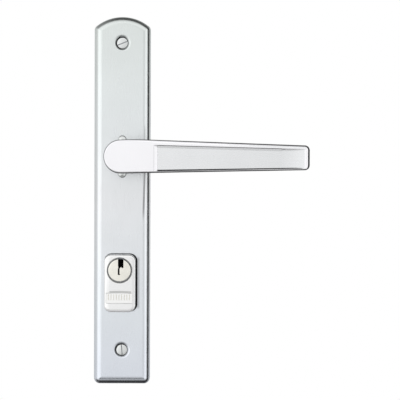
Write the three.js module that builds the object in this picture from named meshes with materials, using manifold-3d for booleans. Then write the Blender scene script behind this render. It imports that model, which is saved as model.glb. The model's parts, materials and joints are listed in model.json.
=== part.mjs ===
// Lever door handle on a long narrow backplate, with a half euro profile cylinder in a cylinder guard.
//
// Millimetres. X points right, along the lever; +Y points into the door; Z points up.
// The origin is on the spindle axis, in the plane of the door's face, so everything seen is at negative y.
// "Front" is a piece's end at the lower y, and "back" its end at the higher y.

import * as THREE from "three";
import { mergeVertices } from "three/addons/utils/BufferGeometryUtils.js";
import Module from "manifold-3d";

const wasm = await Module();
wasm.setup();

// ---- driving dimensions -------------------------------------------------------------------------

const GAP = 0.3; // clearance between pieces that are next to each other
const PAST = 1; // how far a cutting tool reaches past the face it cuts through

const PLATE = {
  width: 34.7,
  top: 86.3,
  bottom: -140.9,
  depth: 10,
  wall: 1.8,
  edge: 4,
  arch: 25.8,
  shoulder: 3.05,
  corner: 3.75,
};
const BACKING = { thickness: 1.5, rim: 0.5, spindleHole: 6.2, screwHole: 2.4, profileGap: 0.4 };
const DOOR_SCREW = {
  heights: { top: 70, bottom: -119.9 },
  head: 3.5,
  headHeight: 2.2,
  shank: 2,
  end: 26,
  point: 6,
  slotWidth: 0.9,
  slotDepth: 1.1,
};
const SCREW_CUP = { opening: 4.25, outer: 5.6, seat: -6.6, floor: 1.3 };

const LEVER = {
  front: -50,
  back: -39,
  hub: 10.15,
  crown: 10.5,
  crownReach: 12,
  gripStart: 24.3,
  gripStartTop: 9.95,
  end: 113.5,
  endTop: 7.1,
  endBottom: -7.8,
  corner: 2.75,
  edge: 1.6,
};
const PANEL = { left: 22.6, right: 110.8, depth: 0.6, draft: 0.4 };
const PANEL_HEIGHTS = { leftBottom: -8.7, leftTop: 7, rightBottom: -6.75, rightTop: 4.85 };
const NECK = { bearing: 6, outer: 7.2, hub: 8.8, flareStart: -24, back: -1.8, flat: 5.3, flatFront: -4.4 };
const SPINDLE = { side: 7, corner: 0.6, front: -38, back: 55, clearance: 0.25, chamfer: 0.5 };
const GRUB = { radius: 2.3, hole: 2.6, y: -20, low: -6.9, hexSocket: 1.2, socketDepth: 2 };

const CASSETTE = { halfWidth: 14, halfHeight: 15, corner: 4, bore: 8.4, back: -1.9 };
const LEG_POCKET = { radius: 12, halfSweep: 54, floor: 0.9 };
const SPRING_STOP = { inner: 10.1, halfWidth: 0.9, back: -3.6 };
const HOUSING_SCREW = { offset: 10.45, head: 2.7, headHeight: 1.5, shank: 1.25, hole: 1.5, back: -2.6 };
const BUSH = { hole: 7.3, outer: 6.95, inner: 6.3, flange: 8.1, flangeThickness: 0.8, proud: 0.8 };
const RETURN_SPRING = {
  radius: 7.3,
  wire: 0.4,
  turns: 2,
  front: -6.5,
  back: -4.7,
  legEnd: 11.4,
  legAngle: 9,
};
const DRIVER = { radius: 8, front: -4.2, back: -3.2, reach: 9.6, tongueInner: 8.55, tongueFront: -6.7 };
const DRIVER_ARM = { start: 6.6, halfWidth: 0.7 };
const NECK_CLIP = { front: -3, back: -2.5, groove: 5.6, outer: 7.2, halfMouth: 1.5 };

const CYLINDER = { x: -1.3, z: -70, front: -15.9, slot: 30, slotWidth: 10, rear: 5 };
const PROFILE = { radius: 8.5, halfFlag: 5, height: 33 };
const FIXING_HOLE = 2.1;
const PLUG = { head: 6.95, headChamfer: 0.3, front: -18.3, core: 6.4, bore: 6.7, stub: 4.6, stubBore: 4.9 };
const CAM = { outer: 8.3, width: 9.4, reach: 15.3, halfLobe: 4.2 };
const DRIVE = { halfTooth: 0.9, halfSlot: 1.2, slotDepth: 3, toothDepth: 3.3 };
const PLUG_CLIP = { setBack: 1.3, thickness: 0.7, groove: 4.2, outer: 6.4, halfMouth: 1.2, pocket: 7 };
const PIN = { radius: 1.4, chamber: 1.7, first: 5.5, pitch: 4.4, driver: 5.5, shear: 6.45, tip: 0.5 };
const KEY_PIN_LENGTHS = [3.6, 4.4, 3.2, 4.8, 3.9];
const CHAMBER = { plugTop: 0.6, capThickness: 1.65, capInset: 0.35 };
const PIN_SPRING = { radius: 1.05, wire: 0.2, turns: 5 };

const GUARD = {
  width: 19.2,
  height: 35.3,
  x: -1.1,
  z: -78.05,
  corner: 4.1,
  edge: 1,
  front: -18,
  wall: 1.8,
  window: 8,
};
const GUARD_FIT = { opening: 0.6, pocket: 0.2 };
const GUARD_FLANGE = { margin: 2.7, front: -7.9, back: -1.8 };
const LABEL = { width: 16.4, height: 7.8, z: -86.5, shift: -0.3, depth: 0.4, corner: 0.8, draft: 0.2 };

// ---- dimensions that follow from them -----------------------------------------------------------

const plateFront = -PLATE.depth;
const plateInside = plateFront + PLATE.wall;
const cassetteFront = plateInside + GAP;
const slotFront = CYLINDER.front + CYLINDER.slot;
const slotBack = slotFront + CYLINDER.slotWidth;
const bodyBack = slotBack + CYLINDER.rear;
const camCentre = (slotFront + slotBack) / 2;
const toe = CYLINDER.z + PROFILE.radius - PROFILE.height;
const bridgeTop = CYLINDER.z - CAM.reach - 0.5;
const plugClipFront = bodyBack - PLUG_CLIP.setBack;
const plugClipBack = plugClipFront + PLUG_CLIP.thickness;
const keyPinBottom = CYLINDER.z - PIN.shear + GAP / 2;
const driverPinTop = CYLINDER.z - PIN.shear - GAP / 2;
const driverPinBottom = driverPinTop - PIN.driver;
const capBottom = toe + CHAMBER.capInset;
const capTop = capBottom + CHAMBER.capThickness;

// ---- materials ----------------------------------------------------------------------------------

const finish = (color, roughness, metalness) =>
  new THREE.MeshStandardMaterial({ color, roughness, metalness });

const SATIN_ALUMINIUM = finish(0xd9dbde, 0.38, 1);
const CAST_ALUMINIUM = finish(0xeceded, 0.32, 1);
const ZINC_STEEL = finish(0xb9bcc0, 0.4, 1);
const SPRING_STEEL = finish(0x8d9094, 0.35, 1);
const NICKEL = finish(0xdadad8, 0.28, 1);
const NICKEL_BRASS = finish(0xe2dfd0, 0.3, 1);
const BRASS = finish(0xc9a85a, 0.3, 1);
const NYLON = finish(0xe6e4dc, 0.6, 0);

// ---- solids from geometries ---------------------------------------------------------------------

const signedVolume = (vertices, triangles) => {
  const [a, b, c] = [new THREE.Vector3(), new THREE.Vector3(), new THREE.Vector3()];
  let volume = 0;
  for (let i = 0; i < triangles.length; i += 3) {
    a.fromArray(vertices, triangles[i] * 3);
    b.fromArray(vertices, triangles[i + 1] * 3);
    c.fromArray(vertices, triangles[i + 2] * 3);
    volume += a.dot(b.cross(c)) / 6;
  }
  return volume;
};

// Welds a geometry's vertices, drops collapsed triangles, and turns its faces outwards.
const solid = (geometry) => {
  const bare = geometry.clone();
  bare.deleteAttribute("normal");
  bare.deleteAttribute("uv");
  const welded = mergeVertices(bare, 1e-4);
  const vertProperties = new Float32Array(welded.attributes.position.array);
  const index = welded.index.array;
  const kept = [];
  for (let i = 0; i < index.length; i += 3) {
    const [a, b, c] = [index[i], index[i + 1], index[i + 2]];
    if (a !== b && b !== c && c !== a) kept.push(a, b, c);
  }
  if (signedVolume(vertProperties, kept) < 0) kept.reverse();
  const triVerts = new Uint32Array(kept);
  return new wasm.Manifold(new wasm.Mesh({ numProp: 3, vertProperties, triVerts }));
};

const join = (first, ...others) => others.reduce((whole, part) => whole.add(part), first);
const cut = (stock, ...tools) => tools.reduce((rest, tool) => rest.subtract(tool), stock);

const geometryOf = (body) => {
  const mesh = body.getMesh();
  const geometry = new THREE.BufferGeometry();
  geometry.setAttribute("position", new THREE.BufferAttribute(mesh.vertProperties, 3));
  geometry.setIndex(new THREE.BufferAttribute(mesh.triVerts, 1));
  geometry.computeVertexNormals();
  return geometry;
};

// ---- shape makers -------------------------------------------------------------------------------

// A rod along Y between two depths.
const rod = (radius, front, back, sides, x = 0, z = 0) => {
  const geometry = new THREE.CylinderGeometry(radius, radius, back - front, sides);
  geometry.translate(x, (front + back) / 2, z);
  return solid(geometry);
};

// A rod along Z between two heights.
const post = (radius, low, high, sides, x, y) => {
  const geometry = new THREE.CylinderGeometry(radius, radius, high - low, sides);
  geometry.rotateX(Math.PI / 2);
  geometry.translate(x, y, (low + high) / 2);
  return solid(geometry);
};

const block = (left, right, front, back, low, high) => {
  const geometry = new THREE.BoxGeometry(right - left, back - front, high - low);
  geometry.translate((left + right) / 2, (front + back) / 2, (low + high) / 2);
  return solid(geometry);
};

const turnedGeometry = (profile, sides) =>
  new THREE.LatheGeometry(
    profile.map(([radius, along]) => new THREE.Vector2(radius, along)),
    sides,
  );

// A piece turned about an axis along Y: its profile is a list of [radius, y].
const turned = (profile, sides, x = 0, z = 0) => {
  const geometry = turnedGeometry(profile, sides);
  geometry.translate(x, 0, z);
  return solid(geometry);
};

// Extrudes a shape drawn in (x, z) from one depth to another.
const slab = (shape, front, back) => {
  const geometry = new THREE.ExtrudeGeometry(shape, { depth: back - front, bevelEnabled: false });
  geometry.rotateX(Math.PI / 2);
  geometry.translate(0, back, 0);
  return solid(geometry);
};

// Sweeps a round wire along a curve.
const wire = (curve, radius, steps, curveSegments) => {
  const section = new THREE.Shape();
  section.absarc(0, 0, radius, 0, 2 * Math.PI);
  const options = { steps, extrudePath: curve, bevelEnabled: false, curveSegments };
  return solid(new THREE.ExtrudeGeometry(section, options));
};

const arcPoints = (cx, cz, radius, from, to, steps) => {
  const points = [];
  for (let i = 0; i <= steps; i += 1) {
    const angle = THREE.MathUtils.degToRad(from + ((to - from) * i) / steps);
    points.push(new THREE.Vector2(cx + radius * Math.cos(angle), cz + radius * Math.sin(angle)));
  }
  return points;
};

const anticlockwise = (outline) => (THREE.ShapeUtils.isClockWise(outline) ? outline.reverse() : outline);

// Joins outlines of equal point count, one at each level {y, inset}, into one closed body.
const lofted = (outlineAt, levels) => {
  const outlines = levels.map(({ inset }) => anticlockwise(outlineAt(inset)));
  const rings = outlines.map((outline, level) => outline.map((p) => [p.x, levels[level].y, p.y]));
  const count = rings[0].length;
  const index = [];
  for (let level = 0; level + 1 < rings.length; level += 1) {
    for (let i = 0; i < count; i += 1) {
      const [a, b] = [level * count + i, level * count + ((i + 1) % count)];
      index.push(a, b, b + count, a, b + count, a + count);
    }
  }
  const lid = (outline) => THREE.ShapeUtils.triangulateShape(outline, []);
  const last = (rings.length - 1) * count;
  for (const [a, b, c] of lid(outlines[0])) index.push(a, c, b);
  for (const [a, b, c] of lid(outlines[rings.length - 1])) index.push(last + a, last + b, last + c);
  const geometry = new THREE.BufferGeometry();
  geometry.setAttribute("position", new THREE.Float32BufferAttribute(rings.flat(2), 3));
  geometry.setIndex(index);
  return solid(geometry);
};

// A plain plate: one outline from front to back.
const plain = (outlineAt, front, back, inset = 0) =>
  lofted(outlineAt, [
    { y: back, inset },
    { y: front, inset },
  ]);

// Levels of a rounded edge, from the side inwards to the plane y = face. The side's end of the edge is
// at face + radius, so a negative radius rounds an edge whose body lies at lower y.
const roundedEdge = (face, radius, steps, inset = 0) => {
  const levels = [];
  for (let i = 0; i <= steps; i += 1) {
    const angle = (Math.PI / 2) * (i / steps);
    levels.push({
      y: face + radius * (1 - Math.sin(angle)),
      inset: inset + Math.abs(radius) * (1 - Math.cos(angle)),
    });
  }
  return levels;
};

const roundedRectangle = (cx, cz, width, height, corner, steps = 4) => (inset) => {
  const r = Math.max(corner - inset, 0.2);
  const [x, z] = [width / 2 - inset - r, height / 2 - inset - r];
  return [
    ...arcPoints(cx + x, cz + z, r, 0, 90, steps),
    ...arcPoints(cx - x, cz + z, r, 90, 180, steps),
    ...arcPoints(cx - x, cz - z, r, 180, 270, steps),
    ...arcPoints(cx + x, cz - z, r, 270, 360, steps),
  ];
};

// A flat open ring with a mouth at its top, seated in a groove.
const circlip = ({ groove, outer, halfMouth }, front, back, x = 0, z = 0) => {
  const ring = rod(outer, front, back, 30, x, z);
  const hole = rod(groove + 0.2, front - PAST, back + PAST, 30, x, z);
  const mouth = block(x - halfMouth, x + halfMouth, front - PAST, back + PAST, z, z + outer + PAST);
  return cut(ring, hole, mouth);
};

// ---- the backplate ------------------------------------------------------------------------------

const plateOutline = (inset) => {
  const halfWidth = PLATE.width / 2 - inset;
  const arch = PLATE.arch - inset;
  const archCentre = PLATE.top - PLATE.arch;
  const shoulder = Math.max(PLATE.shoulder - inset, 0.3);
  const corner = Math.max(PLATE.corner - inset, 0.3);
  const shoulderX = halfWidth - shoulder;
  const shoulderZ = Math.sqrt((arch - shoulder) ** 2 - shoulderX ** 2);
  const turn = THREE.MathUtils.radToDeg(Math.atan2(shoulderZ, shoulderX));
  const foot = PLATE.bottom + inset + corner;
  return [
    ...arcPoints(shoulderX, archCentre + shoulderZ, shoulder, 0, turn, 3),
    ...arcPoints(0, archCentre, arch, turn, 180 - turn, 16).slice(1, -1),
    ...arcPoints(-shoulderX, archCentre + shoulderZ, shoulder, 180 - turn, 180, 3),
    ...arcPoints(corner - halfWidth, foot, corner, 180, 270, 4),
    ...arcPoints(halfWidth - corner, foot, corner, 270, 360, 4),
  ];
};

// The barrel of the profile cylinder with the flat flag that hangs from it.
const profileShape = (grow) => {
  const { radius, halfFlag } = PROFILE;
  const [r, w] = [radius + grow, halfFlag + grow];
  const shoulder = THREE.MathUtils.radToDeg(Math.acos(w / r));
  return new THREE.Shape([
    ...arcPoints(CYLINDER.x, CYLINDER.z, r, -shoulder, 180 + shoulder, 36),
    ...arcPoints(CYLINDER.x, toe + halfFlag, w, 180, 360, 12),
  ]);
};

const doorScrewHeights = Object.values(DOOR_SCREW.heights);

const coverPlate = () => {
  const { wall, edge } = PLATE;
  const outside = lofted(plateOutline, [{ y: 0, inset: 0 }, ...roundedEdge(plateFront, edge, 6)]);
  const cavity = lofted(plateOutline, [
    { y: PAST, inset: wall },
    ...roundedEdge(plateInside, edge - wall, 3, wall),
  ]);
  const { opening, outer, seat, floor } = SCREW_CUP;
  const cups = doorScrewHeights.map((z) => rod(outer, plateFront + wall / 2, seat + floor, 24, 0, z));
  const screwHoles = doorScrewHeights.flatMap((z) => [
    rod(opening, plateFront - PAST, seat, 28, 0, z),
    rod(DOOR_SCREW.shank + GAP, seat - PAST, PAST, 20, 0, z),
  ]);
  const housingScrewHoles = [-1, 1].map((side) =>
    rod(HOUSING_SCREW.hole, plateFront - PAST, PAST, 16, 0, side * HOUSING_SCREW.offset),
  );
  const leverHole = rod(BUSH.hole, plateFront - PAST, PAST, 36);
  const guardOpening = roundedRectangle(
    GUARD.x,
    GUARD.z,
    GUARD.width + 2 * GUARD_FIT.opening,
    GUARD.height + 2 * GUARD_FIT.opening,
    GUARD.corner + GUARD_FIT.opening,
  );
  return cut(
    join(cut(outside, cavity), ...cups),
    ...screwHoles,
    ...housingScrewHoles,
    leverHole,
    plain(guardOpening, plateFront - PAST, PAST),
  );
};

const basePlate = () => {
  const front = -BACKING.thickness;
  const sheet = plain(plateOutline, front, 0, PLATE.wall + BACKING.rim);
  const through = (radius, sides, z) => rod(radius, front - PAST, PAST, sides, 0, z);
  return cut(
    sheet,
    through(BACKING.spindleHole, 32, 0),
    ...doorScrewHeights.map((z) => through(BACKING.screwHole, 20, z)),
    slab(profileShape(BACKING.profileGap), front - PAST, PAST),
  );
};

const doorScrew = (z) => {
  const { head, headHeight, shank, end, point, slotWidth, slotDepth } = DOOR_SCREW;
  const seat = SCREW_CUP.seat - 0.05;
  const crown = seat - headHeight;
  const body = turned(
    [
      [0, crown],
      [0.55 * head, crown + 0.05 * headHeight],
      [0.9 * head, crown + 0.27 * headHeight],
      [head, crown + 0.55 * headHeight],
      [head, seat],
      [shank, seat],
      [shank, end - point],
      [0, end],
    ],
    20,
    0,
    z,
  );
  const [reach, half] = [head + PAST, slotWidth / 2];
  const slot = block(-reach, reach, crown - PAST, crown + slotDepth, z - half, z + half);
  return cut(body, slot);
};

// ---- the spring cassette behind the cover plate -------------------------------------------------

const springHousing = () => {
  const { halfWidth, halfHeight, corner, bore, back } = CASSETTE;
  const outline = roundedRectangle(0, 0, 2 * halfWidth, 2 * halfHeight, corner);
  const body = plain(outline, cassetteFront, back);
  const { radius, halfSweep, floor } = LEG_POCKET;
  const sector = new THREE.Shape([
    new THREE.Vector2(0, 0),
    ...arcPoints(0, 0, radius, -halfSweep, halfSweep, 14),
  ]);
  const bored = cut(
    body,
    rod(bore, cassetteFront - PAST, back + PAST, 36),
    slab(sector, cassetteFront + floor, back + PAST),
  );
  const { inner, halfWidth: halfStop, back: stopBack } = SPRING_STOP;
  const stop = block(inner, radius + 0.5, cassetteFront + floor / 2, stopBack, -halfStop, halfStop);
  const screwHoles = [-1, 1].map((side) =>
    rod(HOUSING_SCREW.hole, cassetteFront - PAST, back + PAST, 16, 0, side * HOUSING_SCREW.offset),
  );
  return cut(join(bored, stop), ...screwHoles);
};

const housingScrew = (side) => {
  const { offset, head, headHeight, shank, back } = HOUSING_SCREW;
  const seat = plateFront - 0.05;
  const dome = arcPoints(0, 0, 1, 90, 0, 5).map((p) => [head * p.x, seat - headHeight * p.y]);
  return turned([...dome, [shank, seat], [shank, back], [0, back]], 16, 0, side * offset);
};

const leverBush = () => {
  const { outer, inner, flange, flangeThickness, proud } = BUSH;
  const [front, flangeBack] = [plateFront - proud, cassetteFront + flangeThickness];
  return turned(
    [
      [inner, front],
      [outer, front],
      [outer, cassetteFront],
      [flange, cassetteFront],
      [flange, flangeBack],
      [inner, flangeBack],
      [inner, front],
    ],
    36,
  );
};

// A torsion spring round the neck, with both ends bent outwards, one either side of the stop.
const returnSpring = () => {
  const { radius, wire: wireRadius, front, back, legEnd, legAngle, turns } = RETURN_SPRING;
  const legHeight = legEnd * Math.tan(THREE.MathUtils.degToRad(legAngle));
  const coil = arcPoints(0, 0, radius, legAngle, 360 * turns - legAngle, 12 * turns);
  const path = coil.map((p, i) => {
    const depth = front + ((back - front) * i) / (coil.length - 1);
    return new THREE.Vector3(p.x, depth, p.y);
  });
  path.unshift(new THREE.Vector3(legEnd, front, legHeight));
  path.push(new THREE.Vector3(legEnd, back, -legHeight));
  return wire(new THREE.CatmullRomCurve3(path, false, "centripetal"), wireRadius, 24 * turns, 3);
};

// The driver is keyed on the neck's flats; its tongue reaches forward between the spring's ends.
const springDriver = () => {
  const { radius, front, back, reach, tongueInner, tongueFront } = DRIVER;
  const { start, halfWidth } = DRIVER_ARM;
  const disc = rod(radius, front, back, 32);
  const arm = block(start, reach, front, back, -halfWidth, halfWidth);
  const tongue = block(tongueInner, reach, tongueFront, back, -halfWidth, halfWidth);
  const side = NECK.flat + 0.2;
  const [from, to] = [front - PAST, back + PAST];
  const flats = block(-side, side, from, to, -radius, radius);
  return cut(join(disc, arm, tongue), rod(NECK.bearing + 0.2, from, to, 32).intersect(flats));
};

// ---- the lever ----------------------------------------------------------------------------------

const leverOutline = (inset) => {
  const { hub, crown, crownReach, gripStart, gripStartTop, end, endTop, endBottom, corner } = LEVER;
  const top = new THREE.QuadraticBezierCurve(
    new THREE.Vector2(0, hub - inset),
    new THREE.Vector2(crownReach, crown - inset),
    new THREE.Vector2(gripStart, gripStartTop - inset),
  );
  return [
    ...arcPoints(0, 0, hub - inset, 270, 90, 18).slice(0, -1),
    ...top.getPoints(5),
    ...arcPoints(end - corner, endTop - corner, corner - inset, 88, 0, 4),
    ...arcPoints(end - corner, endBottom + corner, corner - inset, 0, -89, 4),
  ];
};

const leverPanel = (inset) => {
  const { leftBottom, leftTop, rightBottom, rightTop } = PANEL_HEIGHTS;
  const [left, right] = [PANEL.left + inset, PANEL.right - inset];
  return [
    new THREE.Vector2(left, leftBottom + inset),
    new THREE.Vector2(right, rightBottom + inset),
    new THREE.Vector2(right, rightTop - inset),
    new THREE.Vector2(left, leftTop - inset),
  ];
};

const leverNeck = () => {
  const { bearing, outer, hub, flareStart, back, flat, flatFront } = NECK;
  const shoulder = plateFront - BUSH.proud - GAP;
  const groove = { front: NECK_CLIP.front - 0.1, back: NECK_CLIP.back + 0.1, radius: NECK_CLIP.groove };
  const barrel = turned(
    [
      [0, back],
      [bearing, back],
      [bearing, groove.back],
      [groove.radius, groove.back],
      [groove.radius, groove.front],
      [bearing, groove.front],
      [bearing, shoulder],
      [outer, shoulder],
      [outer, flareStart],
      [hub, LEVER.back + 3],
      [hub, LEVER.back - 3],
      [0, LEVER.back - 3],
    ],
    36,
  );
  const reach = hub + PAST;
  return cut(
    barrel,
    block(flat, reach, flatFront, back + PAST, -reach, reach),
    block(-reach, -flat, flatFront, back + PAST, -reach, reach),
  );
};

const lever = () => {
  const { front, back, edge } = LEVER;
  const grip = lofted(leverOutline, [
    ...roundedEdge(back, -edge, 4).reverse(),
    ...roundedEdge(front, edge, 4),
  ]);
  const panel = lofted(leverPanel, [
    { y: front + PANEL.depth, inset: PANEL.draft },
    { y: front - PAST, inset: 0 },
  ]);
  const half = SPINDLE.side / 2 + SPINDLE.clearance;
  const socket = block(-half, half, SPINDLE.front - 0.5, PAST, -half, half);
  const grubHole = post(GRUB.hole, -NECK.hub - PAST, -half + 0.2, 16, 0, GRUB.y);
  return cut(join(grip, leverNeck()), panel, socket, grubHole);
};

const spindle = () => {
  const { side, corner, front, back, chamfer } = SPINDLE;
  const section = roundedRectangle(0, 0, side, side, corner, 1);
  return lofted(section, [
    { y: back, inset: chamfer },
    { y: back - 2 * chamfer, inset: 0 },
    { y: front, inset: 0 },
  ]);
};

const leverGrubScrew = () => {
  const { radius, y, low, hexSocket, socketDepth } = GRUB;
  const tip = -SPINDLE.side / 2 - 0.1;
  return cut(post(radius, low, tip, 16, 0, y), post(hexSocket, low - PAST, low + socketDepth, 6, 0, y));
};

// ---- the cylinder guard -------------------------------------------------------------------------

const cylinderGuard = () => {
  const { width, height, x, z, corner, edge, front, wall, window } = GUARD;
  const { margin, front: flangeFront, back } = GUARD_FLANGE;
  const boss = lofted(roundedRectangle(x, z, width, height, corner, 6), [
    { y: back, inset: 0 },
    ...roundedEdge(front, edge, 4),
  ]);
  const flange = plain(
    roundedRectangle(x, z, width + 2 * margin, height + 2 * margin, corner),
    flangeFront,
    back,
  );
  const pocket = slab(profileShape(GUARD_FIT.pocket), front + wall, back + PAST);
  const labelOutline = roundedRectangle(
    CYLINDER.x + LABEL.shift,
    LABEL.z,
    LABEL.width,
    LABEL.height,
    LABEL.corner,
    2,
  );
  const label = lofted(labelOutline, [
    { y: front + LABEL.depth, inset: LABEL.draft },
    { y: front - PAST, inset: 0 },
  ]);
  const opening = rod(window, front - PAST, front + wall + PAST, 40, CYLINDER.x, CYLINDER.z);
  return cut(join(boss, flange), pocket, label, opening);
};

// ---- the half euro cylinder ---------------------------------------------------------------------

const pinPlaces = KEY_PIN_LENGTHS.map((_, i) => CYLINDER.front + PIN.first + PIN.pitch * i);

const cylinderBody = () => {
  const { x, z, front } = CYLINDER;
  const stock = slab(profileShape(0), front, bodyBack);
  const bore = rod(PLUG.bore, front - PAST, slotFront + PAST, 40, x, z);
  const stubBore = rod(PLUG.stubBore, slotBack - PAST, bodyBack + PAST, 32, x, z);
  const clipPocket = rod(PLUG_CLIP.pocket, plugClipFront - GAP, bodyBack + PAST, 32, x, z);
  const reach = PROFILE.radius + PAST;
  const camSlot = block(x - reach, x + reach, slotFront, slotBack, bridgeTop, z + reach);
  const chambers = pinPlaces.map((y) => post(PIN.chamber, toe - PAST, z - PLUG.core / 2, 16, x, y));
  const fixingHole = new THREE.CylinderGeometry(FIXING_HOLE, FIXING_HOLE, 2 * reach, 20);
  fixingHole.rotateZ(Math.PI / 2);
  fixingHole.translate(x, camCentre, (bridgeTop + toe) / 2);
  return cut(stock, bore, stubBore, clipPocket, camSlot, ...chambers, solid(fixingHole));
};

// The keyway opens at the plug's top: a wide upper part, a hook on its right and a narrow lower leg.
const keywayShape = () => {
  const outline = [
    [-0.5, PLUG.head + PAST],
    [2.5, PLUG.head + PAST],
    [2.4, 1.6],
    [1.6, 1],
    [0.9, 1.6],
    [0.8, 2.6],
    [0.1, 1.2],
    [0.1, -2.3],
    [0.5, -2.5],
    [0.5, -3],
    [-1, -3],
    [-1, 1],
    [-0.4, 2.6],
  ];
  return new THREE.Shape(outline.map(([x, z]) => new THREE.Vector2(CYLINDER.x + x, CYLINDER.z + z)));
};

const cylinderPlug = () => {
  const { x, z, front } = CYLINDER;
  const { head, headChamfer, core, stub } = PLUG;
  const coreBack = slotFront - 0.4;
  const stubBack = bodyBack - 0.1;
  const groove = { front: plugClipFront - 0.1, back: plugClipBack + 0.1, radius: PLUG_CLIP.groove };
  const barrel = turned(
    [
      [0, PLUG.front],
      [head - headChamfer, PLUG.front],
      [head, PLUG.front + headChamfer],
      [head, front - GAP],
      [core, front - GAP],
      [core, coreBack],
      [stub, coreBack],
      [stub, groove.front],
      [groove.radius, groove.front],
      [groove.radius, groove.back],
      [stub, groove.back],
      [stub, stubBack],
      [0, stubBack],
    ],
    40,
    x,
    z,
  );
  const keySlot = slab(keywayShape(), PLUG.front - PAST, slotFront - 3);
  const chambers = pinPlaces.map((y) => post(PIN.chamber, z - head, z + CHAMBER.plugTop, 16, x, y));
  const { halfSlot, slotDepth } = DRIVE;
  const driveSlot = block(x - halfSlot, x + halfSlot, coreBack, bodyBack, z + slotDepth, z + head);
  return cut(barrel, keySlot, ...chambers, driveSlot);
};

const cylinderCam = () => {
  const { x, z } = CYLINDER;
  const { outer, width, reach, halfLobe } = CAM;
  const [front, back] = [camCentre - width / 2, camCentre + width / 2];
  const lobe = new THREE.Shape([
    new THREE.Vector2(x + halfLobe, z),
    new THREE.Vector2(x - halfLobe, z),
    ...arcPoints(x, z - reach + halfLobe, halfLobe, 180, 360, 10),
  ]);
  const ring = join(rod(outer, front, back, 36, x, z), slab(lobe, front, back));
  const bore = rod(PLUG.stubBore, front - PAST, back + PAST, 32, x, z);
  const { halfTooth, toothDepth } = DRIVE;
  const tooth = block(x - halfTooth, x + halfTooth, front, back, z + toothDepth, z + outer - PAST);
  return join(cut(ring, bore), tooth);
};

// A pin or cap turned about the upright axis of a pin chamber: its profile is a list of [radius, z].
const turnedInChamber = (profile, y) => {
  const geometry = turnedGeometry(profile, 12);
  geometry.rotateX(Math.PI / 2);
  geometry.translate(CYLINDER.x, y, 0);
  return solid(geometry);
};

const keyPin = (y, length) => {
  const top = keyPinBottom + length;
  const { radius, tip } = PIN;
  return turnedInChamber(
    [
      [0, keyPinBottom],
      [radius, keyPinBottom],
      [radius, top - (radius - tip)],
      [tip, top],
      [0, top],
    ],
    y,
  );
};

const plainPin = (y, radius, low, high) =>
  turnedInChamber(
    [
      [0, low],
      [radius, low],
      [radius, high],
      [0, high],
    ],
    y,
  );

class PinSpringCurve extends THREE.Curve {
  constructor(y) {
    super();
    this.y = y;
    this.low = capTop + PIN_SPRING.wire + 0.1;
    this.high = driverPinBottom - PIN_SPRING.wire - 0.1;
  }

  getPoint(t, target = new THREE.Vector3()) {
    const { radius, turns } = PIN_SPRING;
    const angle = 2 * Math.PI * turns * t;
    return target.set(
      CYLINDER.x + radius * Math.cos(angle),
      this.y + radius * Math.sin(angle),
      this.low + (this.high - this.low) * t,
    );
  }
}

// ---- the assembly -------------------------------------------------------------------------------

const handle = new THREE.Group();

const add = (name, body, material) => {
  const mesh = new THREE.Mesh(geometryOf(body), material);
  mesh.name = name;
  handle.add(mesh);
};

add("cover_plate", coverPlate(), SATIN_ALUMINIUM);
add("base_plate", basePlate(), ZINC_STEEL);
add("door_screw_top", doorScrew(DOOR_SCREW.heights.top), NICKEL);
add("door_screw_bottom", doorScrew(DOOR_SCREW.heights.bottom), NICKEL);

add("spring_housing", springHousing(), ZINC_STEEL);
add("housing_screw_top", housingScrew(1), NICKEL);
add("housing_screw_bottom", housingScrew(-1), NICKEL);
add("lever_bush", leverBush(), NYLON);
add("return_spring", returnSpring(), SPRING_STEEL);
add("spring_driver", springDriver(), ZINC_STEEL);
add("lever_circlip", circlip(NECK_CLIP, NECK_CLIP.front, NECK_CLIP.back), SPRING_STEEL);

add("lever", lever(), CAST_ALUMINIUM);
add("spindle", spindle(), ZINC_STEEL);
add("lever_grub_screw", leverGrubScrew(), SPRING_STEEL);

add("cylinder_guard", cylinderGuard(), NICKEL);
add("cylinder_body", cylinderBody(), NICKEL_BRASS);
add("cylinder_plug", cylinderPlug(), NICKEL_BRASS);
add("cylinder_cam", cylinderCam(), ZINC_STEEL);
add("plug_circlip", circlip(PLUG_CLIP, plugClipFront, plugClipBack, CYLINDER.x, CYLINDER.z), SPRING_STEEL);

pinPlaces.forEach((y, i) => {
  add(`key_pin_${i + 1}`, keyPin(y, KEY_PIN_LENGTHS[i]), BRASS);
  add(`driver_pin_${i + 1}`, plainPin(y, PIN.radius, driverPinBottom, driverPinTop), BRASS);
  add(`pin_spring_${i + 1}`, wire(new PinSpringCurve(y), PIN_SPRING.wire, 40, 2), SPRING_STEEL);
  add(`chamber_cap_${i + 1}`, plainPin(y, PIN.chamber - 0.1, capBottom, capTop), BRASS);
});

export default handle;
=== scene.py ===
"""Looks for a lever door handle on a narrow backplate with a half euro cylinder.

Outlines and profiles are in millimetres, in the frame's axes: X along the lever, Y into the door, Z up.
Places and overall sizes come from the frame's boxes; the named numbers here are only details of form.
"""

import json
import math

import bmesh
import bpy
from mathutils import Matrix, Quaternion, Vector


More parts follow.
